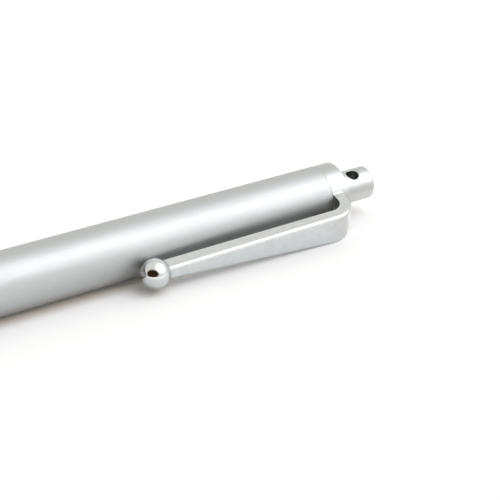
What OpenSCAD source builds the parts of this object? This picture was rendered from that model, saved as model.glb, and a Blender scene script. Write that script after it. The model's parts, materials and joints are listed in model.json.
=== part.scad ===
// Touch-screen stylus pen: an aluminium tube with a rubber nib in a turned nose at one end,
// and a cast clip held by a screwed tail knob with a lanyard hole at the other.
// Millimetres. The pen lies on its barrel and on the lower corner of its clip: X runs along
// the pen towards the tail, Z is up, and the floor is Z = 0 under the middle of its box.

/* [Whole pen] */
// Overall length, from the tip of the nib to the end of the tail knob
pen_length = 115; // [100:1:140]
// Outside diameter of the barrel, the collar and the wide end of the nose
barrel_d = 9; // [8:0.1:10]
// Gap between two pieces that screw, press or push together, on the radius
seat_gap = 0.02; // [0.01:0.01:0.04]

/* [Barrel] */
// Wall of the aluminium tube
barrel_wall = 0.7; // [0.5:0.05:0.75]
// Edge broken off both ends of the tube
barrel_edge = 0.12; // [0.05:0.01:0.2]

/* [Nib] */
// How far the nib stands out of the nose
nib_out = 6.2; // [5:0.1:8]
// Width of the dome's shoulder round its neck, which makes the dome 7 mm across
nib_shoulder = 1; // [0.7:0.05:1.1]
// Wall of the hollow rubber dome and of its neck
nib_wall = 0.9; // [0.6:0.05:1.1]
// Thickness of the flange that holds the nib in behind the lip of the nose
flange_t = 1; // [0.6:0.1:1.6]

/* [Nose] */
// Length of the nose in front of the barrel
nose_l = 7; // [5:0.1:10]
// Width of the nose's rim round the dome
nose_rim = 0.35; // [0.25:0.05:0.5]
// Length of the straight band beside the barrel
nose_band = 1; // [0.5:0.1:2]
// Depth of the lip that the nib's neck passes
lip_l = 1.2; // [0.8:0.1:2]
// Width of the lip, which the nib's flange bears on
lip_w = 0.4; // [0.3:0.05:0.5]
// Edge broken off the lip and the back of the nose
nose_edge = 0.2; // [0.1:0.02:0.3]
// Wall of the screwed spigot inside the barrel, which the nib's flange goes in by
spigot_wall = 0.4; // [0.35:0.05:0.5]
// Length of the spigot inside the barrel
spigot_l = 6; // [4:0.1:8]

/* [Nib plug] */
// Length of the plug's head behind the flange of the nib
plug_head_l = 2.5; // [1.5:0.1:4]
// How far the plug's pilot stands up inside the dome
plug_out = 1; // [0.4:0.1:1.6]
// Edge broken off the pilot
plug_edge = 0.3; // [0.1:0.05:0.5]

/* [Bushes] */
// Length of the brass bush that takes the nose
front_bush_l = 8; // [6:0.1:12]
// Wall of the brass bush that takes the nose
front_bush_wall = 0.46; // [0.4:0.02:0.6]
// Length of the brass bush that takes the tail knob
rear_bush_l = 10; // [9:0.1:14]

/* [Collar and tail knob] */
// Length of the clip's collar along the pen
collar_l = 3; // [2.4:0.1:4]
// Edge broken off both ends of the collar
collar_edge = 0.12; // [0.05:0.01:0.2]
// Gap between the collar's hole and the stem of the knob, on the radius
collar_gap = 0.05; // [0.03:0.01:0.1]
// Diameter of the tail knob
knob_d = 5.1; // [4.6:0.1:6]
// Length of the tail knob behind the collar
knob_l = 6.2; // [5:0.1:8]
// Radius of the rounded edge at the end of the knob
knob_round = 0.35; // [0.2:0.05:0.6]
// Edge broken off the knob beside the collar
knob_edge = 0.15; // [0.05:0.05:0.3]
// Diameter of the threaded stem of the knob
stem_d = 4; // [3.4:0.1:4.2]
// Length of the stem, through the collar and into the bush
stem_l = 11; // [9:0.1:12]
// Diameter of the lanyard hole across the knob
lanyard_d = 2; // [1.5:0.1:2.4]
// Place of the lanyard hole along the knob, as a share of the knob's length
lanyard_share = 0.49; // [0.4:0.01:0.6]
// Turn of the lanyard hole from the clip, where the tightened screw leaves it
lanyard_turn = 82; // [0:0.5:180]

/* [Clip] */
// Thickness of the leg and of the arm where it starts
clip_t = 1.9; // [1.5:0.05:2.1]
// Width of the leg and of the arm where it starts
clip_w = 4.95; // [4:0.05:5.4]
// Thickness of the arm at the ball
clip_tip_t = 2.2; // [1.6:0.05:2.4]
// Width of the arm at the ball
clip_tip_w = 1.95; // [1.6:0.05:2.6]
// Gap between the arm and the barrel where the arm starts
clip_root_gap = 2.64; // [2.4:0.02:3.2]
// Inside radius of the bend from the leg into the arm
bend_inner = 2.38; // [1.6:0.02:2.4]
// How far the leg stands behind the front of the collar
leg_inset = 0.08; // [0.05:0.01:0.2]
// Radius of the rounded edges along the outside of the leg and the arm
clip_round = 0.6; // [0.3:0.05:0.7]
// Radius of the edges that face the barrel
clip_inner_round = 0.15; // [0.1:0.05:0.3]
// Distance from the front of the collar to the middle of the ball
clip_reach = 32.3; // [26:0.1:40]
// Diameter of the ball
ball_d = 4.4; // [3.8:0.1:5]
// Gap between the ball and the barrel when nothing is clipped
ball_gap = 0.2; // [0.08:0.02:0.3]
// How far the arm runs on into the ball, short of its middle
arm_short = 0.8; // [0.4:0.1:1.2]
// Distance of the arm's end from the barrel, to the middle of the arm
arm_end_gap = 2.24; // [2.1:0.02:2.4]
// Hairline gap across the leg that stands for its bending, where the arm tilts
flex_gap = 0.1; // [0.09:0.01:0.12]
// How far round the bend, from the leg, the hairline gap lies
flex_turn = 7; // [6:0.5:12]

/* [Hidden] */
$fn = 96;
// Chords along each rounded corner of the clip's cross-section
corner_chords = 4;
// Steps round the bend, below and above the hairline gap
leg_steps = 3;
bend_steps = 20;
// Overrun of every cut past the face that it leaves by
over = 0.5;

barrel_r = barrel_d / 2;
tube_r = barrel_r - barrel_wall;
spigot_r = tube_r - front_bush_wall - 2 * seat_gap;
spigot_bore_r = spigot_r - spigot_wall;
neck_r = spigot_bore_r - lip_w;
pilot_r = neck_r - nib_wall;
nib_r = neck_r + nib_shoulder;
nose_tip_r = nib_r + nose_rim;
knob_r = knob_d / 2;
stem_r = stem_d / 2;
ball_r = ball_d / 2;

// Places along the pen, from the nib to the tail
tip_x = -pen_length / 2;
lip_x = tip_x + nib_out;
nose_back_x = lip_x + nose_l;
tail_x = pen_length / 2;
knob_x = tail_x - knob_l;
collar_x = knob_x - collar_l;
flange_x = lip_x + lip_l;
plug_x = flange_x + flange_t;

// The nose narrows on one arc that leaves the straight band without a corner
nose_arc_l = nose_l - nose_band;
nose_drop = barrel_r - nose_tip_r;
nose_arc_r = (nose_arc_l * nose_arc_l + nose_drop * nose_drop) / (2 * nose_drop);

// The clip in its own plane: along the pen, and out from the pen's axis. The leg stands at the
// front of the collar, and the bend starts just above the barrel and turns round the slot's end
bend_r = bend_inner + clip_t / 2;
bend_x = collar_x + leg_inset - bend_inner;
bend_out = barrel_r + clip_root_gap - bend_inner;
foot_base = stem_r + collar_gap + collar_edge;
leg_x = bend_x + bend_r;
clip_top = bend_out + bend_r + clip_t / 2;
flex_half = flex_gap / bend_r * 90 / PI;
flex_x = bend_x + bend_r * cos(flex_turn);
flex_out = bend_out + bend_r * sin(flex_turn);
ball_x = collar_x - clip_reach;
ball_out = barrel_r + ball_gap + ball_r;
arm_end_x = ball_x + arm_short;
arm_end_out = barrel_r + arm_end_gap;

// Slope of the arm, from the end of the bend down to the ball: the straight line from the
// arm's end that runs into the arc of the bend without a corner
slope_far = norm([bend_x - arm_end_x, bend_out - arm_end_out]);
arm_slope = asin(bend_r / slope_far) - atan2(arm_end_out - bend_out, bend_x - arm_end_x);
arm_start_x = bend_x - bend_r * sin(arm_slope);
arm_start_out = bend_out + bend_r * cos(arm_slope);

// At rest the pen rolls until the lower corner of the bend meets the floor beside the barrel
corner_out = clip_top - clip_round;
corner_side = clip_w / 2 - clip_round;
rest_roll = asin((barrel_r - clip_round) / norm([corner_out, corner_side]))
          - atan2(corner_side, corner_out);
corner_reach = corner_out * cos(rest_roll) + corner_side * sin(rest_roll) + clip_round;
ball_reach = ball_out * cos(rest_roll) + ball_r;
side_reach = max(corner_reach, ball_reach);
axis_y = (side_reach - barrel_r) / 2;
axis_z = barrel_r;

// From the pen's own axis to the way it lies at rest
module at_rest() {
    translate([0, axis_y, axis_z]) rotate([rest_roll, 0, 0]) children();
}

// A turned piece: the outline's first size is its radius, the second its place along the pen
module turned() {
    rotate([0, 90, 0]) rotate_extrude() children();
}

// A straight band of a turned outline
module band(from_r, to_r, from_x, to_x) {
    translate([from_r, from_x]) square([to_r - from_r, to_x - from_x]);
}

// A straight band with its two outer corners broken
module broken_band(from_r, to_r, from_x, to_x, edge) {
    polygon([
        [from_r, from_x], [to_r - edge, from_x], [to_r, from_x + edge],
        [to_r, to_x - edge], [to_r - edge, to_x], [from_r, to_x]
    ]);
}

// The quarter disc at the closed end of a dome
module dome(r, centre_x) {
    intersection() {
        translate([0, centre_x]) circle(r);
        band(0, r, centre_x - r, centre_x);
    }
}

// Hollow rubber dome with a neck and a flange that holds it in the nose
module nib() {
    centre_x = tip_x + nib_r;
    color("#2b2b2d") at_rest() turned() difference() {
        union() {
            dome(nib_r, centre_x);
            band(0, nib_r, centre_x, lip_x);
            band(0, neck_r - seat_gap, lip_x, flange_x);
            band(0, spigot_bore_r - seat_gap, flange_x, plug_x);
        }
        dome(nib_r - nib_wall, centre_x);
        band(0, nib_r - nib_wall, centre_x, lip_x - nib_wall);
        band(0, pilot_r, lip_x - nib_wall, plug_x + over);
    }
}

// Moulded plug: its pilot fills the neck, and its head keeps the flange against the lip
module nib_plug() {
    front_x = lip_x - plug_out;
    color("#1c1c1e") at_rest() turned() {
        polygon([
            [0, front_x], [pilot_r - seat_gap - plug_edge, front_x],
            [pilot_r - seat_gap, front_x + plug_edge], [pilot_r - seat_gap, plug_x], [0, plug_x]
        ]);
        broken_band(0, spigot_bore_r - seat_gap, plug_x, plug_x + plug_head_l, plug_edge);
    }
}

// Turned nose: straight band, curved taper, lip for the nib, and a spigot inside the barrel
module nose() {
    band_x = nose_back_x - nose_band;
    color("#cfd2d6") at_rest() turned() difference() {
        union() {
            intersection() {
                translate([barrel_r - nose_arc_r, band_x]) circle(nose_arc_r);
                polygon([
                    [0, lip_x], [nose_tip_r - nose_edge, lip_x], [nose_tip_r + over, lip_x + nose_edge + over],
                    [barrel_r + over, band_x], [0, band_x]
                ]);
            }
            band(0, barrel_r, band_x, nose_back_x - nose_edge);
            polygon([
                [0, nose_back_x - nose_edge], [barrel_r, nose_back_x - nose_edge],
                [barrel_r - nose_edge, nose_back_x], [0, nose_back_x]
            ]);
            broken_band(0, spigot_r, nose_back_x - over, nose_back_x + spigot_l, nose_edge);
        }
        band(0, neck_r, lip_x - over, flange_x + over);
        band(0, spigot_bore_r, flange_x, nose_back_x + spigot_l + over);
    }
}

// Brass bush at the front end of the barrel, for the nose
module front_bush() {
    color("#c2a35c") at_rest() turned()
        broken_band(spigot_r + seat_gap, tube_r - seat_gap, nose_back_x, nose_back_x + front_bush_l, barrel_edge);
}

// Plain aluminium tube
module barrel() {
    color("#d5d8dc") at_rest() turned()
        broken_band(tube_r, barrel_r, nose_back_x, collar_x, barrel_edge);
}

// Brass bush at the rear end of the barrel, for the stem of the knob
module rear_bush() {
    color("#c2a35c") at_rest() turned()
        broken_band(stem_r + seat_gap, tube_r - seat_gap, collar_x - rear_bush_l, collar_x, barrel_edge);
}

// Corner points of the clip's cross-section: x across its thickness, y across its width
function strip_points(thick, wide) = [
    for (quarter = [0:3], step = [0:corner_chords])
        let (turn = 90 * (quarter + step / corner_chords),
             side_t = quarter == 0 || quarter == 3 ? 1 : -1,
             side_w = quarter < 2 ? 1 : -1,
             r = side_t > 0 ? clip_round : clip_inner_round)
        [side_t * (thick / 2 - r) + r * cos(turn), side_w * (wide / 2 - r) + r * sin(turn)]
];

// One section of the clip at a station: [along, out, heading, thickness, width]
function section_points(station) = [
    for (p = strip_points(station[3], station[4]))
        [station[0] + p.x * cos(station[2]), station[1] + p.x * sin(station[2]), p.y]
];

// The solid through a row of stations
module clip_solid(stations) {
    rings = [for (station = stations) each section_points(station)];
    n = 4 * (corner_chords + 1);
    last = len(rings) - n;
    polyhedron(
        points = rings,
        faces = concat(
            [[for (i = [0:n - 1]) i]],
            [[for (i = [n - 1:-1:0]) last + i]],
            [for (row = [0:n:last - n], i = [0:n - 1]) [row + i, row + (i + 1) % n, row + n + i]],
            [for (row = [0:n:last - n], i = [0:n - 1])
                [row + (i + 1) % n, row + n + (i + 1) % n, row + n + i]]
        )
    );
}

// Stations round the bend of the clip, from one turn to another
function bend_stations(from_turn, to_turn, steps) = [
    for (step = [0:steps])
        let (turn = from_turn + (to_turn - from_turn) * step / steps)
        [bend_x + bend_r * cos(turn), bend_out + bend_r * sin(turn), turn, clip_t, clip_w]
];

// From the clip's own plane to its side of the pen
module clip_side() {
    rotate([180, 0, 0]) children();
}

// The clip's collar, gripped between the barrel and the tail knob, with the leg that stands on
// it and the start of the bend
module clip_collar() {
    color("#dfe1e4") at_rest() {
        turned() broken_band(stem_r + collar_gap, barrel_r, collar_x, knob_x, collar_edge);
        clip_side() clip_solid(concat(
            [[leg_x, foot_base, 0, clip_t, clip_w]],
            bend_stations(0, flex_turn - flex_half, leg_steps)
        ));
    }
}

// The springing arm of the clip: the rest of the bend, the tapered arm and the ball. The
// hairline gap below it stands for the bending of what is one casting with the collar
module clip_arm() {
    color("#dfe1e4") at_rest() clip_side() {
        clip_solid(concat(
            bend_stations(flex_turn + flex_half, 90 + arm_slope, bend_steps),
            [[arm_end_x, arm_end_out, 90 + arm_slope, clip_tip_t, clip_tip_w]]
        ));
        translate([ball_x, ball_out, 0]) rotate([0, 0, 90 + arm_slope]) rotate([-90, 0, 0]) sphere(ball_r);
    }
}

// Turned tail knob: rounded end, lanyard hole, and the stem that pulls the clip tight
module tail_knob() {
    color("#dfe1e4") at_rest() difference() {
        turned() {
            broken_band(0, stem_r, knob_x - stem_l, knob_x + over, knob_edge);
            polygon([
                [0, knob_x], [knob_r - knob_edge, knob_x], [knob_r, knob_x + knob_edge],
                [knob_r, tail_x - knob_round], [knob_r - knob_round, tail_x], [0, tail_x]
            ]);
            translate([knob_r - knob_round, tail_x - knob_round]) circle(knob_round);
        }
        translate([knob_x + knob_l * lanyard_share, 0, 0]) rotate([90 - lanyard_turn, 0, 0])
            cylinder(r = lanyard_d / 2, h = knob_d + 2 * over, center = true);
    }
}

nib();
nib_plug();
nose();
front_bush();
barrel();
rear_bush();
clip_collar();
clip_arm();
tail_knob();
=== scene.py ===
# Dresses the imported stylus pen: turned pieces, the one-piece sprung clip, finishes, floor and studio.
# Shapes are worked out in millimetres in the pen's own frame, and placed in metres.
import json
import math
import bmesh
import bpy
import numpy as np
from mathutils import Matrix, Vector


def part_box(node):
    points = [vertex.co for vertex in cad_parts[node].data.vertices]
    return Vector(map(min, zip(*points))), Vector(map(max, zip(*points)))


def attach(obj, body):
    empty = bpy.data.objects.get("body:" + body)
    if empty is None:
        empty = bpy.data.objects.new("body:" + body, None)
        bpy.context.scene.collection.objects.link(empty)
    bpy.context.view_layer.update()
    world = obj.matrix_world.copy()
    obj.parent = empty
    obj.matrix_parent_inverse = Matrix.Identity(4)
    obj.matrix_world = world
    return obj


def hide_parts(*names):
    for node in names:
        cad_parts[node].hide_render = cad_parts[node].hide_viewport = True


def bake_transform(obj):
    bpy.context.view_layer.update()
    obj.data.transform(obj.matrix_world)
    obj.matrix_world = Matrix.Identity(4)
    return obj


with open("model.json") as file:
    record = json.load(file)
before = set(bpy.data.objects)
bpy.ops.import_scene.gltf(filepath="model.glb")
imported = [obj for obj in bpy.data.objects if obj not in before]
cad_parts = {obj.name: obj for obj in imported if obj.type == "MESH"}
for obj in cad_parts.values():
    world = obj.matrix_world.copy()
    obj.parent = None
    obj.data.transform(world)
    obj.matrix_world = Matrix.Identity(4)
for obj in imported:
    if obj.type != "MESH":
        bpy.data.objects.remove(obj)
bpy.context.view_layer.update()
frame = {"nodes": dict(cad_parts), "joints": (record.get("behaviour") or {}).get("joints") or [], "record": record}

# The pen's own frame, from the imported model: along the pen, out towards the clip, and sideways
mm = 0.001
barrelLow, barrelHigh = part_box("barrel")
noseBack = barrelLow.x / mm
collarFront = barrelHigh.x / mm
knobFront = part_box("clip_collar")[1].x / mm
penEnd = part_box("tail_knob")[1].x / mm
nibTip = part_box("nib")[0].x / mm
barrelRadius = 4.5
sideways = -Vector(frame["joints"][0]["axis"]).normalized()
outward = sideways.cross(Vector((1, 0, 0)))
axisPlace = Vector((0, (barrelLow.y + barrelHigh.y) / 2, (barrelLow.z + barrelHigh.z) / 2))


# Meshes

making = {"crease": 40.0, "latheSteps": 192, "onAxis": 1e-6}


def toRow(points, across=None, up=None):
    # from millimetres along the pen, outwards and sideways, to metres in the shared frame
    basis = np.array([(1, 0, 0), across or outward, up or sideways])
    return np.array(axisPlace) + np.asarray(points, float) * mm @ basis


def addMesh(name, points, faces, material, normals=None):
    mesh = bpy.data.meshes.new(name)
    mesh.from_pydata([tuple(p) for p in points], [], faces)
    mesh.materials.append(material)
    shape = bmesh.new()
    shape.from_mesh(mesh)
    bmesh.ops.recalc_face_normals(shape, faces=shape.faces)
    shape.to_mesh(mesh)
    shape.free()
    mesh.polygons.foreach_set("use_smooth", [True] * len(mesh.polygons))
    if normals is None:
        mesh.set_sharp_from_angle(angle=math.radians(making["crease"]))
    else:
        mesh.normals_split_custom_set_from_vertices(normals)
    piece = bpy.data.objects.new(name, mesh)
    bpy.context.scene.collection.objects.link(piece)
    return piece


def addTurned(name, outline, material, slotName, node, closed=False):
    # a lathe piece: outline points are (place along the pen, radius)
    points = []
    rows = []
    steps = making["latheSteps"]
    for along, radius in outline:
        count = steps if radius > making["onAxis"] else 1
        rows.append(range(len(points), len(points) + count))
        for step in range(count):
            turn = math.tau * step / steps
            points.append((along, radius * math.cos(turn), radius * math.sin(turn)))
    faces = []
    for first, second in zip(rows, rows[1:] + rows[:1] if closed else rows[1:]):
        for step in range(steps):
            after = (step + 1) % steps
            corners = [first[step % len(first)], first[after % len(first)],
                       second[after % len(second)], second[step % len(second)]]
            faces.append(tuple(dict.fromkeys(corners)))
    piece = addMesh(name, toRow(points), faces, material)
    finishPiece(piece, slotName, node)
    return piece


def finishPiece(piece, slotName, *nodes):
    flats = piece.modifiers.new("flatFaces", "WEIGHTED_NORMAL")
    flats.keep_sharp = True
    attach(piece, "pen")
    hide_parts(*nodes)


def rounded(corners, steps=5):
    # corners are (along, radius) or (along, radius, rounding)
    outline = []
    for i, corner in enumerate(corners):
        here = Vector(corner[:2])
        if len(corner) < 3:
            outline.append(tuple(corner))
            continue
        before = (Vector(corners[i - 1][:2]) - here).normalized()
        after = (Vector(corners[(i + 1) % len(corners)][:2]) - here).normalized()
        half = before.angle(after) / 2
        centre = here + (before + after).normalized() * corner[2] / math.sin(half)
        start = (here + before * corner[2] / math.tan(half) - centre).normalized()
        end = (here + after * corner[2] / math.tan(half) - centre).normalized()
        for step in range(steps + 1):
            outline.append(tuple(centre + corner[2] * start.slerp(end, step / steps)))
    return outline


# Nodes and shared effects

def addNode(tree, kind, inputs=None, **settings):
    node = tree.nodes.new(kind)
    for name, value in settings.items():
        setattr(node, name, value)
    for socket, value in (inputs or {}).items():
        if isinstance(value, bpy.types.NodeSocket):
            tree.links.new(value, node.inputs[socket])
        else:
            node.inputs[socket].default_value = value
    return node


def calc(tree, operation, *values):
    return addNode(tree, "ShaderNodeMath", dict(enumerate(values)), operation=operation).outputs[0]


def product(tree, first, *others):
    for other in others:
        first = calc(tree, "MULTIPLY", first, other)
    return first


def remap(tree, value, low, high, toLow=0.0, toHigh=1.0):
    inputs = {"Value": value, "From Min": low, "From Max": high, "To Min": toLow, "To Max": toHigh}
    return addNode(tree, "ShaderNodeMapRange", inputs, interpolation_type="SMOOTHSTEP").outputs["Result"]


def newGroup(name, inputs, outputs):
    group = bpy.data.node_groups.new(name, "ShaderNodeTree")
    for socket, value in inputs.items():
        kind = "NodeSocketVector" if value is None else "NodeSocketFloat"
        made = group.interface.new_socket(name=socket, in_out="INPUT", socket_type=kind)
        if value is not None:
            made.default_value = value
    for socket in outputs:
        group.interface.new_socket(name=socket, in_out="OUTPUT", socket_type="NodeSocketFloat")
    return group, group.nodes.new("NodeGroupInput").outputs, group.nodes.new("NodeGroupOutput").inputs


def noise(group, place, scale=1.0, detail=1.0, warp=0.0):
    inputs = {"Vector": place, "Scale": scale, "Detail": detail, "Distortion": warp}
    return addNode(group, "ShaderNodeTexNoise", inputs).outputs["Fac"]


def stretched(group, place, alongScale, acrossScale):
    scale = addNode(group, "ShaderNodeCombineXYZ", {"X": alongScale, "Y": acrossScale, "Z": acrossScale})
    inputs = {0: place, 1: scale.outputs["Vector"]}
    return addNode(group, "ShaderNodeVectorMath", inputs, operation="MULTIPLY").outputs["Vector"]


# the middle of a noise's values, which is spread out to 0..1
noiseRange = (0.3, 0.7)
grainLook = {"fineDetail": 3.0, "slowScale": 0.11, "slowDetail": 2.0}


def buildGrain():
    # fine grain of a blasted, anodised or moulded surface, drawn out along the pen by Stretch
    group, given, result = newGroup(
        "surfaceGrain", {"Place": None, "Size": 0.0001, "Stretch": 1.0}, ["Value", "Soft"])
    across = calc(group, "DIVIDE", 1.0, given["Size"])
    along = calc(group, "DIVIDE", across, given["Stretch"])
    place = stretched(group, given["Place"], along, across)
    fine = noise(group, place, detail=grainLook["fineDetail"])
    slow = noise(group, place, grainLook["slowScale"], grainLook["slowDetail"])
    group.links.new(remap(group, fine, *noiseRange), result["Value"])
    group.links.new(remap(group, slow, *noiseRange), result["Soft"])
    return group


marksLook = {"turns": (0.4, 1.3, 2.5), "turnAxis": (0.3, 0.8, 0.5), "lineLength": 0.35, "lineCount": 9.0,
             "lineWidth": 0.012, "breakScale": 2.3, "breaks": (0.5, 0.65), "smearDetail": 2.0,
             "smearWarp": 0.6, "smears": (0.45, 0.7)}


def buildMarks():
    # what handling leaves: hairlines in the polish, and faint smears
    group, given, result = newGroup(
        "handlingMarks", {"Place": None, "Size": 0.004, "Amount": 0.5}, ["Hairlines", "Smears"])
    scale = calc(group, "DIVIDE", 1.0, given["Size"])
    alongScale = calc(group, "MULTIPLY", scale, marksLook["lineLength"])
    acrossScale = calc(group, "MULTIPLY", scale, marksLook["lineCount"])
    lines = None
    for turn in marksLook["turns"]:
        inputs = {"Vector": given["Place"], "Axis": marksLook["turnAxis"], "Angle": turn}
        turned = addNode(group, "ShaderNodeVectorRotate", inputs, rotation_type="AXIS_ANGLE")
        waves = noise(group, stretched(group, turned.outputs["Vector"], alongScale, acrossScale))
        # a hairline runs where the waves cross their middle
        away = calc(group, "ABSOLUTE", calc(group, "SUBTRACT", waves, 0.5))
        line = remap(group, away, 0.0, marksLook["lineWidth"], 1.0, 0.0)
        lines = line if lines is None else calc(group, "MAXIMUM", lines, line)
    place = stretched(group, given["Place"], scale, scale)
    patches = noise(group, place, detail=marksLook["smearDetail"], warp=marksLook["smearWarp"])
    thin = noise(group, place, marksLook["breakScale"])
    broken = remap(group, thin, *marksLook["breaks"])
    group.links.new(product(group, lines, broken, given["Amount"]), result["Hairlines"])
    smears = remap(group, patches, *marksLook["smears"])
    group.links.new(product(group, smears, given["Amount"]), result["Smears"])
    return group


turningDetail = 2.0


def buildTurning():
    # rings that a turning tool leaves round the pen, Pitch apart
    group, given, result = newGroup("turningMarks", {"Place": None, "Pitch": 0.00008}, ["Rings"])
    parts = addNode(group, "ShaderNodeSeparateXYZ", {"Vector": given["Place"]})
    along = calc(group, "DIVIDE", parts.outputs["X"], given["Pitch"])
    inputs = {"W": along, "Scale": 1.0, "Detail": turningDetail}
    waves = addNode(group, "ShaderNodeTexNoise", inputs, noise_dimensions="1D")
    group.links.new(remap(group, waves.outputs["Fac"], *noiseRange), result["Rings"])
    return group


grainGroup = buildGrain()
marksGroup = buildMarks()
turningGroup = buildTurning()
print("shared effects ready")


def startFinish(name, settings):
    material = bpy.data.materials.new(name)
    material.use_nodes = True
    tree = material.node_tree
    surface = tree.nodes["Principled BSDF"]
    surface.inputs["Metallic"].default_value = settings["metal"]
    if settings["metal"] > 0:
        # towards what lies near it metal sends its light on evenly, so that gaps and shadows keep theirs
        path = addNode(tree, "ShaderNodeLightPath").outputs
        metal = calc(tree, "SUBTRACT", settings["metal"], path["Is Diffuse Ray"])
        tree.links.new(metal, surface.inputs["Metallic"])
    place = addNode(tree, "ShaderNodeTexCoord").outputs["Object"]
    return material, tree, surface, place


def useGroup(tree, group, place, **values):
    return addNode(tree, "ShaderNodeGroup", {"Place": place, **values}, node_tree=group).outputs


def tint(tree, colour, darker, factor):
    ends = {"A": colour, "B": darker}
    ends = {name: end if isinstance(end, bpy.types.NodeSocket) else (*end, 1) for name, end in ends.items()}
    return addNode(tree, "ShaderNodeMix", {"Factor": factor, **ends}, data_type="RGBA").outputs["Result"]


def relief(tree, surface, *layers):
    # layers of bump, each (height, distance in metres)
    normal = None
    for height, distance in layers:
        inputs = {"Height": height, "Distance": distance, "Strength": 1.0}
        if normal:
            inputs["Normal"] = normal
        normal = addNode(tree, "ShaderNodeBump", inputs).outputs["Normal"]
    tree.links.new(normal, surface.inputs["Normal"])


# how much rougher smears and hairlines are than the surface round them, and how deep a hairline is
wear = {"satinSmears": 0.03, "plateSmears": 0.05, "plateHairlines": 0.08, "hairlineDepth": 0.000001}


def satinFinish(name, settings):
    # satin anodised aluminium: grain drawn out along the tube, faint smears
    material, tree, surface, place = startFinish(name, settings)
    grain = useGroup(tree, grainGroup, place, Size=settings["grain"], Stretch=settings["stretch"])
    marks = useGroup(tree, marksGroup, place, Size=settings["marks"], Amount=settings["markAmount"])
    colour = tint(tree, settings["colour"], settings["shade"], grain["Value"])
    tree.links.new(colour, surface.inputs["Base Color"])
    rough = calc(tree, "MULTIPLY_ADD", grain["Soft"], settings["roughSpread"], settings["rough"])
    rough = calc(tree, "MULTIPLY_ADD", marks["Smears"], wear["satinSmears"], rough)
    tree.links.new(rough, surface.inputs["Roughness"])
    layers = [(grain["Value"], settings["relief"])]
    if "pitch" in settings:
        rings = useGroup(tree, turningGroup, place, Pitch=settings["pitch"])
        layers.append((rings["Rings"], settings["ringRelief"]))
    relief(tree, surface, *layers)
    return material


# the turned ring's limits in millimetres: outside the barrel's radius, and before its end
ringReach = {"outer": 0.3, "inner": 0.05, "front": 0.3}


def onRing(tree, place):
    # 1 on the turned ring that sits on the barrel's end
    parts = addNode(tree, "ShaderNodeSeparateXYZ", {"Vector": place}).outputs
    flat = addNode(tree, "ShaderNodeCombineXYZ", {"Y": parts["Y"], "Z": parts["Z"]})
    fromAxis = addNode(tree, "ShaderNodeVectorMath", {0: flat.outputs["Vector"], 1: axisPlace},
                       operation="DISTANCE").outputs["Value"]
    near = remap(tree, fromAxis, (barrelRadius + ringReach["outer"]) * mm,
                 (barrelRadius + ringReach["inner"]) * mm)
    behind = remap(tree, parts["X"], (collarFront - ringReach["front"]) * mm, collarFront * mm)
    return product(tree, near, behind)


def plateFinish(name, settings):
    # bright plate over a cast or turned piece: slow waves of the polish, hairlines and smears
    material, tree, surface, place = startFinish(name, settings)
    grain = useGroup(tree, grainGroup, place, Size=settings["grain"], Stretch=1.0)
    marks = useGroup(tree, marksGroup, place, Size=settings["marks"], Amount=settings["markAmount"])
    colour = tint(tree, settings["colour"], settings["shade"], grain["Soft"])
    rough = calc(tree, "MULTIPLY_ADD", grain["Value"], settings["roughSpread"], settings["rough"])
    rough = calc(tree, "MULTIPLY_ADD", marks["Smears"], wear["plateSmears"], rough)
    rough = calc(tree, "MULTIPLY_ADD", marks["Hairlines"], wear["plateHairlines"], rough)
    # the turned ring is rougher, and its colour is darkened as painted shade that dims its highlight
    if "ringRough" in settings:
        ring = onRing(tree, place)
        rough = calc(tree, "MULTIPLY_ADD", ring, settings["ringRough"], rough)
        colour = tint(tree, colour, settings["ringShadeColour"], ring)
    tree.links.new(colour, surface.inputs["Base Color"])
    tree.links.new(rough, surface.inputs["Roughness"])
    layers = [(grain["Soft"], settings["relief"]), (marks["Hairlines"], -wear["hairlineDepth"])]
    if "pitch" in settings:
        rings = useGroup(tree, turningGroup, place, Pitch=settings["pitch"])
        layers.append((rings["Rings"], settings["ringRelief"]))
    relief(tree, surface, *layers)
    return material


def mouldedFinish(name, settings):
    # matt rubber or plastic: moulded grain and a little dust
    material, tree, surface, place = startFinish(name, settings)
    surface.inputs["Sheen Weight"].default_value = settings["sheen"]
    grain = useGroup(tree, grainGroup, place, Size=settings["grain"], Stretch=1.0)
    marks = useGroup(tree, marksGroup, place, Size=settings["marks"], Amount=settings["markAmount"])
    colour = tint(tree, settings["colour"], settings["shade"], marks["Smears"])
    tree.links.new(colour, surface.inputs["Base Color"])
    rough = calc(tree, "MULTIPLY_ADD", grain["Soft"], settings["roughSpread"], settings["rough"])
    tree.links.new(rough, surface.inputs["Roughness"])
    relief(tree, surface, (grain["Value"], settings["relief"]))
    return material


barrelSatin = satinFinish("barrelSatin", {
    "metal": 1.0, "colour": (0.519, 0.525, 0.525), "shade": (0.489, 0.495, 0.495),
    "rough": 0.5, "roughSpread": 0.04, "grain": 0.00009, "stretch": 14.0, "relief": 0.0000012,
    "marks": 0.007, "markAmount": 0.5,
})
noseSatin = satinFinish("noseSatin", {
    "metal": 1.0, "colour": (0.52, 0.525, 0.525), "shade": (0.48, 0.485, 0.485),
    "rough": 0.33, "roughSpread": 0.04, "grain": 0.00009, "stretch": 0.4, "relief": 0.0000008,
    "pitch": 0.00007, "ringRelief": 0.0000012, "marks": 0.005, "markAmount": 0.5,
})
clipPlate = plateFinish("clipPlate", {
    "metal": 1.0, "colour": (0.635, 0.643, 0.637), "shade": (0.595, 0.605, 0.60),
    "rough": 0.08, "roughSpread": 0.03, "grain": 0.00012, "relief": 0.0000015,
    "marks": 0.004, "markAmount": 0.6, "ringRough": 0.26, "ringShadeColour": (0.49, 0.497, 0.49),
})
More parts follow.
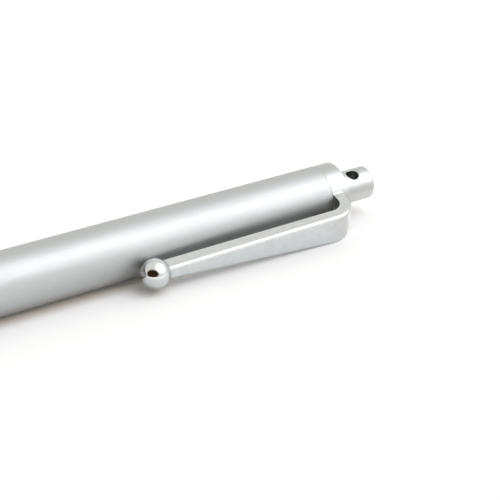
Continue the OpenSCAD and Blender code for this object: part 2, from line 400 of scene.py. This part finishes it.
# painted shade: a darker, greenish plate on the lanyard hole's bore stands in for the shade inside the hole
knobBoreShade = plateFinish("knobBoreShade", {
    "metal": 1.0, "colour": (0.33, 0.37, 0.345), "shade": (0.25, 0.28, 0.265),
    "rough": 0.3, "roughSpread": 0.1, "grain": 0.0001, "relief": 0.000002,
    "marks": 0.003, "markAmount": 0.6,
})
knobPlate = plateFinish("knobPlate", {
    "metal": 1.0, "colour": (0.535, 0.542, 0.535), "shade": (0.505, 0.512, 0.505),
    "rough": 0.4, "roughSpread": 0.03, "grain": 0.0001, "relief": 0.0000006,
    "pitch": 0.00009, "ringRelief": 0.0000006, "marks": 0.003, "markAmount": 0.6,
})
turnedBrass = plateFinish("turnedBrass", {
    "metal": 1.0, "colour": (0.72, 0.55, 0.27), "shade": (0.58, 0.42, 0.2),
    "rough": 0.24, "roughSpread": 0.08, "grain": 0.0002, "relief": 0.000001,
    "pitch": 0.00012, "ringRelief": 0.000004, "marks": 0.004, "markAmount": 0.8,
})
nibRubber = mouldedFinish("nibRubber", {
    "metal": 0.0, "colour": (0.022, 0.022, 0.024), "shade": (0.04, 0.04, 0.042), "sheen": 0.15,
    "rough": 0.5, "roughSpread": 0.12, "grain": 0.00008, "relief": 0.000006,
    "marks": 0.003, "markAmount": 0.8,
})
plugPlastic = mouldedFinish("plugPlastic", {
    "metal": 0.0, "colour": (0.02, 0.02, 0.022), "shade": (0.03, 0.03, 0.032), "sheen": 0.0,
    "rough": 0.4, "roughSpread": 0.1, "grain": 0.0002, "relief": 0.000008,
    "marks": 0.004, "markAmount": 0.5,
})
print("finishes ready")

# the hidden pieces keep their CAD shapes
hidden = {"nib_plug": plugPlastic, "front_bush": turnedBrass, "rear_bush": turnedBrass}
for nodeName, finish in hidden.items():
    slots = frame["nodes"][nodeName].data.materials
    slots.clear()
    slots.append(finish)


# Barrel, nose and nib

barrel = {"bore": 3.8, "edge": 0.04}
addTurned("barrelTube", rounded([
    (noseBack, barrel["bore"], barrel["edge"]), (noseBack, barrelRadius, barrel["edge"]),
    (collarFront, barrelRadius, barrel["edge"]), (collarFront, barrel["bore"], barrel["edge"]),
]), barrelSatin, "barrel_aluminium", "barrel", closed=True)

nose = {"front": -51.3, "tipRadius": 3.85, "band": 1.0, "edge": 0.15, "neck": 2.5, "neckEdge": 0.1,
        "lip": 1.2, "bore": 2.9, "spigot": 3.3, "spigotLength": 6.0, "arcSteps": 24}


def noseOutline():
    bandFront = noseBack - nose["band"]
    length = bandFront - nose["front"]
    drop = barrelRadius - nose["tipRadius"]
    arcRadius = (length ** 2 + drop ** 2) / (2 * drop)
    arc = []
    for step in range(1, nose["arcSteps"] + 1):
        along = nose["front"] + length * step / nose["arcSteps"]
        arc.append((along, barrelRadius - arcRadius + math.sqrt(arcRadius ** 2 - (bandFront - along) ** 2)))
    back = noseBack + nose["spigotLength"]
    edge = nose["edge"]
    return rounded([
        (nose["front"], nose["neck"], edge), (nose["front"], nose["tipRadius"], edge), *arc,
        (noseBack, barrelRadius, edge), (noseBack, nose["spigot"]), (back, nose["spigot"], edge),
        (back, nose["bore"]), (nose["front"] + nose["lip"], nose["bore"]),
        (nose["front"] + nose["lip"], nose["neck"], nose["neckEdge"]),
    ])


addTurned("noseShell", noseOutline(), noseSatin, "nose_aluminium", "nose", closed=True)

nib = {"radius": 3.5, "wall": 0.9, "neck": 2.48, "flange": 2.88, "pilot": 1.6, "flangeBack": -49.1,
       "shoulder": 0.25, "domeSteps": 24}


def nibOutline():
    centre = nibTip + nib["radius"]
    inner = nib["radius"] - nib["wall"]
    lip = nose["front"]
    flangeFront = lip + nose["lip"]
    turns = [math.pi / 2 * step / nib["domeSteps"] for step in range(nib["domeSteps"] + 1)]
    outside = [(centre - nib["radius"] * math.cos(t), nib["radius"] * math.sin(t)) for t in turns]
    inside = [(centre - inner * math.cos(t), inner * math.sin(t)) for t in reversed(turns)]
    return rounded([
        *outside, (lip, nib["radius"], nib["shoulder"]), (lip, nib["neck"]), (flangeFront, nib["neck"]),
        (flangeFront, nib["flange"]), (nib["flangeBack"], nib["flange"]), (nib["flangeBack"], nib["pilot"]),
        (lip - nib["wall"], nib["pilot"]), (lip - nib["wall"], inner), *inside,
    ])


addTurned("nibDome", nibOutline(), nibRubber, "nib_rubber", "nib")
print("barrel, nose and nib made")


# Tail knob, with the lanyard hole worked into its mesh

knob = {"radius": 2.55, "edge": 0.15, "round": 0.35, "stem": 2.0, "stemEdge": 0.15, "stemLength": 11.0,
        "holeRadius": 1.0, "holeEdge": 0.12, "patchHalf": 1.45, "steps": 120, "patchTurn": 12,
        "patchAlong": 16, "spread": 5, "edgeSteps": 4, "boreSteps": 6}


def knobMesh(holeAlong):
    radius = knob["radius"]
    hole = knob["holeRadius"]
    edge = knob["holeEdge"]
    steps = knob["steps"]
    half = knob["patchTurn"]
    stemFront = knobFront - knob["stemLength"]
    columns = [(holeAlong + knob["patchHalf"] * (2 * k / knob["patchAlong"] - 1), radius)
               for k in range(knob["patchAlong"] + 1)]
    outline = rounded([
        (stemFront, 0), (stemFront, knob["stem"], knob["stemEdge"]), (knobFront, knob["stem"]),
        (knobFront, radius, knob["edge"]), *columns, (penEnd, radius, knob["round"]), (penEnd, 0),
    ])
    firstColumn = outline.index(columns[0])
    lastColumn = outline.index(columns[-1])
    points = []
    faces = []
    known = {}

    def add(point):
        points.append(point)
        return len(points) - 1

    def corner(row, step):
        along, distance = outline[row]
        step = step % steps if distance > making["onAxis"] else 0
        if (row, step) not in known:
            turn = math.tau * step / steps
            known[row, step] = add((along, distance * math.cos(turn), distance * math.sin(turn)))
        return known[row, step]

    for row in range(len(outline) - 1):
        for step in range(steps):
            nearest = min(step, abs(step - steps // 2), steps - step)
            nextNearest = min(step + 1, abs(step + 1 - steps // 2), steps - step - 1)
            if firstColumn <= row < lastColumn and max(nearest, nextNearest) <= half:
                continue
            loop = [corner(row, step), corner(row, step + 1),
                    corner(row + 1, step + 1), corner(row + 1, step)]
            faces.append(tuple(dict.fromkeys(loop)))

    def bridge(first, second):
        for i in range(len(first)):
            after = (i + 1) % len(first)
            faces.append((first[i], first[after], second[after], second[i]))

    rim = [(firstColumn, i) for i in range(-half, half)]
    rim += [(row, half) for row in range(firstColumn, lastColumn)]
    rim += [(lastColumn, i) for i in range(half, -half, -1)]
    rim += [(row, -half) for row in range(lastColumn, firstColumn, -1)]
    mouths = []
    for side in (1, -1):
        ring = [corner(row, i if side > 0 else steps // 2 - i) for row, i in rim]
        places = [(outline[row][0] - holeAlong, radius * math.sin(math.tau * i / steps)) for row, i in rim]
        turns = [math.atan2(across, along) for along, across in places]
        reach = hole + edge
        levels = []
        for k in range(1, knob["spread"] + 1):
            t = k / knob["spread"]
            levels.append([((1 - t) * along + t * reach * math.cos(turn),
                            (1 - t) * across + t * reach * math.sin(turn), 0)
                           for (along, across), turn in zip(places, turns)])
        for k in range(1, knob["edgeSteps"] + 1):
            lean = math.pi / 2 * k / knob["edgeSteps"]
            wide = reach - edge * math.sin(lean)
            deep = edge * (1 - math.cos(lean))
            levels.append([(wide * math.cos(turn), wide * math.sin(turn), deep) for turn in turns])
        for level in levels:
            inner = [add((holeAlong + along, side * (math.sqrt(radius ** 2 - across ** 2) - deep), across))
                     for along, across, deep in level]
            bridge(ring, inner)
            ring = inner
        mouths.append(ring)
    ring = mouths[0]
    for k in range(1, knob["boreSteps"]):
        t = k / knob["boreSteps"]
        inner = [add(tuple((1 - t) * np.array(points[a]) + t * np.array(points[b])))
                 for a, b in zip(*mouths)]
        bridge(ring, inner)
        ring = inner
    bridge(ring, mouths[1])
    return points, faces, len(mouths[0]) * knob["boreSteps"]


lanyard = next(m for m in frame["record"]["mounts"] if m["name"] == "lanyard_hole")
holeAxis = Vector(lanyard["axis"]).normalized()
knobPoints, knobFaces, boreFaces = knobMesh(lanyard["pos_m"][0] / mm)
knobPlace = toRow(knobPoints, holeAxis, Vector((1, 0, 0)).cross(holeAxis))
knobTurned = addMesh("knobTurned", knobPlace, knobFaces, knobPlate)
# the bore's faces take the painted-shade plate
knobTurned.data.materials.append(knobBoreShade)
for face in knobTurned.data.polygons[len(knobFaces) - boreFaces:]:
    face.material_index = 1
finishPiece(knobTurned, "knob_chrome", "tail_knob")
print("tail knob made")


# Clip: one casting of collar, foot, leg, bend, arm and ball, meshed from its distance field

clip = {"thick": 1.9, "wide": 4.95, "tipThick": 2.2, "tipWide": 1.95, "round": 0.5, "innerRound": 0.12,
        "rootGap": 2.64, "bendInner": 2.38, "legFront": 48.38, "armEnd": (16.8, 6.74), "ball": (16.0, 6.9),
        "ballRadius": 2.2, "bore": 2.05, "edge": 0.05, "footFillet": 0.2, "neckFillet": 0.4,
        "footBase": 2.2, "footTop": 5.2, "footFront": 40.0,
        "flexStart": (49.3, 4.9, 0), "flexEnd": (48.8, 6.2, 0)}
bendAlong = clip["legFront"] - clip["bendInner"]
bendOut = barrelRadius + clip["rootGap"] - clip["bendInner"]
bendRadius = clip["bendInner"] + clip["thick"] / 2
endAlong, endOut = clip["armEnd"]
endFar = math.hypot(bendAlong - endAlong, bendOut - endOut)
armSlope = math.asin(bendRadius / endFar) - math.atan2(endOut - bendOut, bendAlong - endAlong)
armLength = math.sqrt(endFar ** 2 - bendRadius ** 2)
farInside = -1000.0


def blendFields(first, second, reach):
    share = np.clip(0.5 + 0.5 * (second - first) / reach, 0, 1)
    return second + (first - second) * share - reach * share * (1 - share)


def roundedPair(first, second, radius):
    # the solid inside both fields, with the edge between them rounded
    across = np.maximum(first + radius, 0)
    along = np.maximum(second + radius, 0)
    return np.hypot(across, along) + np.minimum(np.maximum(first, second), -radius)


def clipField(along, out, side):
    # distance to the casting's surface in millimetres, below zero inside it
    fromAxis = np.hypot(out, side)
    ring = roundedPair(np.maximum(fromAxis - barrelRadius, clip["bore"] - fromAxis),
                       np.maximum(collarFront - along, along - knobFront), clip["edge"])
    # the strip's own measures: how far along the arm, and how far outside its middle
    headAlong = -math.cos(armSlope)
    headOut = -math.sin(armSlope)
    fromAlong = along - (bendAlong + bendRadius * headOut)
    fromOut = out - (bendOut - bendRadius * headAlong)
    run = fromAlong * headAlong + fromOut * headOut
    fromBend = np.hypot(along - bendAlong, out - bendOut)
    outside = np.where(out <= bendOut, along - bendAlong, fromBend) - bendRadius
    outside = np.where(run >= 0, fromAlong * headOut - fromOut * headAlong, outside)
    share = np.clip(run / armLength, 0, 1)
    thick = clip["thick"] + (clip["tipThick"] - clip["thick"]) * share
    wide = clip["wide"] + (clip["tipWide"] - clip["wide"]) * share
    toSide = np.abs(side) - wide / 2
    strip = np.maximum(roundedPair(outside - thick / 2, toSide, clip["round"]),
                       roundedPair(-outside - thick / 2, toSide, clip["innerRound"]))
    strip = np.maximum(strip, np.maximum(clip["footBase"] - out, run - armLength))
    ballAlong, ballOut = clip["ball"]
    ball = np.sqrt((along - ballAlong) ** 2 + (out - ballOut) ** 2 + side ** 2) - clip["ballRadius"]
    strip = blendFields(strip, ball, clip["neckFillet"])
    whole = blendFields(ring, strip, clip["footFillet"])
    # beside the barrel, nothing of the foot reaches in front of the collar
    foot = (out < clip["footTop"]) & (along > clip["footFront"])
    return np.maximum(whole, np.where(foot, collarFront - along, farInside))


def spaced(*runs):
    # grid places from runs of (start, end, step)
    places = [np.linspace(a, b, max(1, round((b - a) / step)), endpoint=False) for a, b, step in runs]
    return np.concatenate([*places, [runs[-1][1]]])


def stripGrid(runs, outsides, sides):
    # grid points that follow the leg, the bend and the tapering arm, so that its edges lie along the grid
    run, outside, side = np.meshgrid(runs, outsides, sides, indexing="ij")
    bendLength = bendRadius * (math.pi / 2 + armSlope)
    share = np.clip((run - bendLength) / armLength, 0, 1)
    outside = outside * (1 + (clip["tipThick"] / clip["thick"] - 1) * share)
    side = side * (1 + (clip["tipWide"] / clip["wide"] - 1) * share)
    turn = np.clip(run / bendRadius, 0, math.pi / 2 + armSlope)
    straight = run - turn * bendRadius
    along = bendAlong + (bendRadius + outside) * np.cos(turn) - straight * np.sin(turn)
    out = bendOut + (bendRadius + outside) * np.sin(turn) + straight * np.cos(turn)
    return np.stack([along, out, side], -1)


def netSurface(field, grid):
    # a mesh of four-sided faces: one point in each grid cell that the surface crosses
    values = field(*np.moveaxis(grid, -1, 0))
    inside = values < 0
    cells = tuple(size - 1 for size in values.shape)
    total = np.zeros((*cells, 3))
    count = np.zeros(cells)
    quads = []
    for axis in range(3):
        first = [slice(None)] * 3
        second = [slice(None)] * 3
        first[axis] = slice(0, -1)
        second[axis] = slice(1, None)
        crossing = np.argwhere(inside[tuple(first)] != inside[tuple(second)])
        after = crossing.copy()
        after[:, axis] += 1
        low = values[tuple(crossing.T)]
        high = values[tuple(after.T)]
        start = grid[tuple(crossing.T)]
        where = start + (grid[tuple(after.T)] - start) * (low / (low - high))[:, None]
        one, two = [k for k in range(3) if k != axis]
        ring = []
        for a, b in ((0, 0), (1, 0), (1, 1), (0, 1)):
            cell = crossing.copy()
            cell[:, one] -= a
            cell[:, two] -= b
            np.add.at(total, tuple(cell.T), where)
            np.add.at(count, tuple(cell.T), 1)
            ring.append(np.ravel_multi_index(tuple(cell.T), cells))
        quads.append(np.stack(ring, 1))
    used = np.flatnonzero(count.ravel())
    order = np.zeros(count.size, int)
    order[used] = np.arange(len(used))
    points = total.reshape(-1, 3)[used] / count.ravel()[used, None]
    return points, order[np.concatenate(quads)]


def slopeAt(field, points, step=0.002):
    slopes = []
    for axis in range(3):
        shift = np.zeros(3)
        shift[axis] = step
        slopes.append((field(*(points + shift).T) - field(*(points - shift).T)) / (2 * step))
    return np.stack(slopes, 1)


def settle(field, points, rounds=4, leastSquare=0.25):
    # brings the points exactly onto the surface
    for turn in range(rounds):
        slope = slopeAt(field, points)
        square = np.maximum((slope ** 2).sum(1), leastSquare)
        points = points - slope * (field(*points.T) / square)[:, None]
    return points


armStart = bendRadius * (math.pi / 2 + armSlope)
armEnd = armStart + armLength
ballStart = armEnd - 2.6
ballEnd = armEnd + 3.4
# runs of the grid as (start, end, step), finest where the rounded edges, the foot and the ball's neck lie
net = {
    "along": [(-9.5, -1.9, 0.16), (-1.9, 0.5, 0.06), (0.5, armStart, 0.2), (armStart, ballStart, 0.6),
              (ballStart, ballEnd, 0.11)],
    "outwards": [(-2.4, -1.12, 0.12), (-1.12, -0.76, 0.03), (-0.76, 0.3, 0.16), (0.3, 1.0, 0.06),
                 (1.0, 1.8, 0.12), (1.8, 2.05, 0.03), (2.05, 2.4, 0.12)],
    "sideways": [(-5.9, -4.6, 0.16), (-4.6, -2.56, 0.13), (-2.56, -2.3, 0.03), (-2.3, -1.8, 0.06),
                 (-1.8, 1.8, 0.16), (1.8, 2.3, 0.06), (2.3, 2.56, 0.03), (2.56, 4.6, 0.13),
                 (4.6, 5.9, 0.16)],
}
clipGrid = stripGrid(spaced(*net["along"]), spaced(*net["outwards"]), spaced(*net["sideways"]))
clipPoints, clipQuads = netSurface(clipField, clipGrid)
clipPoints = settle(clipField, clipPoints)
clipSlopes = slopeAt(clipField, clipPoints)
clipNormals = clipSlopes @ np.array([(1, 0, 0), outward, sideways])
clipNormals /= np.linalg.norm(clipNormals, axis=1)[:, None]
clipCasting = addMesh("clipCasting", toRow(clipPoints), clipQuads.tolist(), clipPlate, clipNormals)
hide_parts("clip_collar", "clip_arm")
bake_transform(clipCasting)
print("clip made,", len(clipQuads), "faces")


# Floor, world and lamps

# places are in metres, and a patch is (ends along X), (ends along Y), soft border
paper = {
    "colour": (0.94, 0.94, 0.925), "glow": 0.06, "size": 4.0,
    "contactShadeColour": (0.75, 0.69, 0.60), "contactReach": 0.0026, "contactRange": (0.85, 0.25),
    "contactSamples": 16, "armAlong": (0.014, 0.022), "armAcross": (-0.002, -0.004),
    "armContactShade": 0.05, "armShadowLift": 0.11,
    "armPatch": ((-2, 0.044), (-0.017, -0.006), 0.006), "armReflectionGlow": 0.2, "armReflectionColour": (0.78, 0.96, 1.0),
    "barrelPatch": ((-2, 0.058), (-0.04, -0.019), 0.004), "barrelReflectionGlow": 0.5,
    "knobPatch": ((0.054, 0.075), (-0.004, 0.02), 0.002), "knobReflectionGlow": 0.28,
    "ballShade": (0.009, -0.009, 0), "ballReach": 0.011,
}


def addFloor():
    half = paper["size"] / 2
    mesh = bpy.data.meshes.new("floorPlane")
    corners = [(-half, -half, 0), (half, -half, 0), (half, half, 0), (-half, half, 0)]
    mesh.from_pydata(corners, [], [(0, 1, 2, 3)])
    floor = bpy.data.objects.new("floorPlane", mesh)
    bpy.context.scene.collection.objects.link(floor)
    material = bpy.data.materials.new("floorPaper")
    material.use_nodes = True
    tree = material.node_tree
    tree.nodes.clear()
    place = addNode(tree, "ShaderNodeTexCoord").outputs["Object"]
    parts = addNode(tree, "ShaderNodeSeparateXYZ", {"Vector": place}).outputs
    path = addNode(tree, "ShaderNodeLightPath").outputs

    def patch(name):
        # 1 inside a rectangle of the paper, fading out over its soft border
        (left, right), (near, far), soft = paper[name]
        return product(tree, remap(tree, parts["X"], left - soft, left),
                       remap(tree, parts["X"], right + soft, right),
                       remap(tree, parts["Y"], near - soft, near),
                       remap(tree, parts["Y"], far + soft, far))

    # painted shade: the paper is tinted warm and darker where the pen comes close to it, through ambient occlusion
    inputs = {"Distance": paper["contactReach"]}
    openness = addNode(tree, "ShaderNodeAmbientOcclusion", inputs, samples=paper["contactSamples"])
    close = remap(tree, openness.outputs["AO"], *paper["contactRange"])
    # painted light: under the arm the paper glows for the camera and its painted contact shade is weakened, so
    # that the arm's shadow stays lighter than the barrel's
    underArm = product(tree, remap(tree, parts["X"], *paper["armAlong"]),
                       remap(tree, parts["Y"], *paper["armAcross"]))
    lift = product(tree, close, underArm, paper["armShadowLift"])
    close = product(tree, close, remap(tree, underArm, 0.0, 1.0, 1.0, paper["armContactShade"]))
    colour = tint(tree, paper["colour"], paper["contactShadeColour"], close)
    sheet = addNode(tree, "ShaderNodeBsdfDiffuse", {"Color": colour})

    # painted reflection: only for glossy rays, the paper glows in patches in front of the pen, beside the knob
    # and, tinted bluish, in front of the arm; less beside the ball
    apart = addNode(tree, "ShaderNodeVectorMath", {0: place, 1: paper["ballShade"]}, operation="DISTANCE")
    byBall = remap(tree, apart.outputs["Value"], 0.0, paper["ballReach"])
    paintedReflection = calc(tree, "MAXIMUM", product(tree, patch("barrelPatch"), paper["barrelReflectionGlow"]),
                 product(tree, patch("knobPatch"), paper["knobReflectionGlow"]))
    paintedReflection = product(tree, paintedReflection, byBall)
    armReflectionGlow = product(tree, patch("armPatch"), paper["armReflectionGlow"], byBall)

    # what the camera sees of the paper: its even glow, plus the painted light under the arm
    seen = calc(tree, "MAXIMUM", path["Is Camera Ray"], path["Is Transmission Ray"])
    level = product(tree, seen, calc(tree, "ADD", lift, paper["glow"]))
    # glossy rays also see the painted reflection glow
    level = calc(tree, "MULTIPLY_ADD", path["Is Glossy Ray"], paintedReflection, level)
    glow = addNode(tree, "ShaderNodeEmission", {"Strength": level})
    # painted reflection of the paper in front of the arm, bluish, for glossy rays only
    inputs = {"Color": (*paper["armReflectionColour"], 1), "Strength": product(tree, path["Is Glossy Ray"], armReflectionGlow)}
    armReflectionLight = addNode(tree, "ShaderNodeEmission", inputs)
    both = addNode(tree, "ShaderNodeAddShader", {0: sheet.outputs[0], 1: glow.outputs[0]})
    both = addNode(tree, "ShaderNodeAddShader", {0: both.outputs[0], 1: armReflectionLight.outputs[0]})
    addNode(tree, "ShaderNodeOutputMaterial", {"Surface": both.outputs[0]})
    mesh.materials.append(material)


studio = {
    "skyColour": (1.0, 0.98, 0.955), "skyLevel": 0.66, "skyTowards": (0.8, 0.78, 0.2), "skyTilt": 1.0,
    "skySeenColour": (0.99, 1.0, 0.965), "skySeenLevel": 1.0,
    "lampTowards": (0.51, -0.475, 0.71), "lampSpread": 29.0, "lampEdge": 2.6, "lampLevel": 2.95,
    "lampShare": 0.815, "lampColour": (0.915, 0.93, 1.0),
    "darkTowards": (-0.66, -0.63, 0.41), "darkWide": 0.70, "darkHigh": 0.49, "darkEdge": (1.12, 0.88),
    "darkFront": (0.0, 0.1), "darkLevel": 0.034, "darkColour": (1.0, 0.7, 0.35),
}


def addWorld():
    # an even tent of light with one soft bright place, where the lamp stands behind its cloth
    world = bpy.data.worlds.new("studioWorld")
    bpy.context.scene.world = world
    world.use_nodes = True
    tree = world.node_tree
    tree.nodes.clear()
    place = addNode(tree, "ShaderNodeTexCoord").outputs["Generated"]
    path = addNode(tree, "ShaderNodeLightPath").outputs

    def facing(towards):
        inputs = {0: place, 1: towards}
        return addNode(tree, "ShaderNodeVectorMath", inputs, operation="DOT_PRODUCT").outputs["Value"]

    # 1 for camera, glossy and transmission rays, which see the white background itself
    seen = calc(tree, "MAXIMUM", path["Is Camera Ray"], path["Is Glossy Ray"])
    seen = calc(tree, "MAXIMUM", seen, path["Is Transmission Ray"])

    # the lamp falls off by exp(-(away ** lampEdge)); the floor gets a smaller share of it
    away = calc(tree, "ARCCOSINE", facing(Vector(studio["lampTowards"]).normalized()))
    away = calc(tree, "DIVIDE", away, math.radians(studio["lampSpread"]))
    away = calc(tree, "POWER", away, studio["lampEdge"])
    fall = calc(tree, "EXPONENT", calc(tree, "MULTIPLY", away, -1.0))
    full = studio["lampLevel"]
    lampLevel = product(tree, fall, remap(tree, seen, 0.0, 1.0, full * studio["lampShare"], full))

    # what falls on the floor comes more from behind the pen
    behind = facing(Vector(studio["skyTowards"]).normalized())
    level = product(tree, calc(tree, "MULTIPLY_ADD", behind, studio["skyTilt"], 1.0), studio["skyLevel"])
    inputs = {"Factor": seen, "A": level, "B": studio["skySeenLevel"]}
    level = addNode(tree, "ShaderNodeMix", inputs).outputs["Result"]
    colour = tint(tree, studio["skyColour"], studio["skySeenColour"], seen)

    # the dark end of the studio, where the photographer stands, shows only in what is polished
    ahead = Vector(studio["darkTowards"]).normalized()
    sideAxis = Vector((0, 0, 1)).cross(ahead).normalized()
    across = calc(tree, "DIVIDE", facing(sideAxis), studio["darkWide"])
    upwards = calc(tree, "DIVIDE", facing(ahead.cross(sideAxis)), studio["darkHigh"])
    squares = calc(tree, "ADD", product(tree, across, across), product(tree, upwards, upwards))
    away = calc(tree, "SQRT", squares)
    dark = product(tree, remap(tree, away, *studio["darkEdge"]),
                   remap(tree, facing(ahead), *studio["darkFront"]), path["Is Glossy Ray"])
    dimmed = calc(tree, "MULTIPLY_ADD", dark, studio["darkLevel"] - 1, 1.0)
    colour = tint(tree, colour, studio["darkColour"], dark)
    inputs = {"Color": (*studio["lampColour"], 1), "Strength": product(tree, lampLevel, dimmed)}
    lamp = addNode(tree, "ShaderNodeBackground", inputs)
    inputs = {"Color": colour, "Strength": product(tree, level, dimmed)}
    sky = addNode(tree, "ShaderNodeBackground", inputs)
    both = addNode(tree, "ShaderNodeAddShader", {0: lamp.outputs[0], 1: sky.outputs[0]})
    addNode(tree, "ShaderNodeOutputWorld", {"Surface": both.outputs[0]})


addFloor()
addWorld()
print("studio ready")


# Camera at the photograph's place

view = {"place": (-0.0665652, -0.1683913, 0.0898861), "aim": (0.0291430, -0.0087082, 0.0045),
        "roll": -2.349, "lens": 103.34, "sensor": 36.0, "nearest": 0.005, "farthest": 20.0}
lens = bpy.data.cameras.new("photoCamera")
lens.lens = view["lens"]
lens.sensor_width = view["sensor"]
lens.clip_start = view["nearest"]
lens.clip_end = view["farthest"]
camera = bpy.data.objects.new("photoCamera", lens)
bpy.context.scene.collection.objects.link(camera)
aim = Vector(view["aim"]) - Vector(view["place"])
turned = aim.to_track_quat("-Z", "Y").to_matrix().to_4x4()
turned = turned @ Matrix.Rotation(math.radians(view["roll"]), 4, "Z")
camera.matrix_world = Matrix.Translation(view["place"]) @ turned
bpy.context.scene.camera = camera
bpy.context.scene.view_settings.view_transform = "Standard"

bpy.context.view_layer.update()
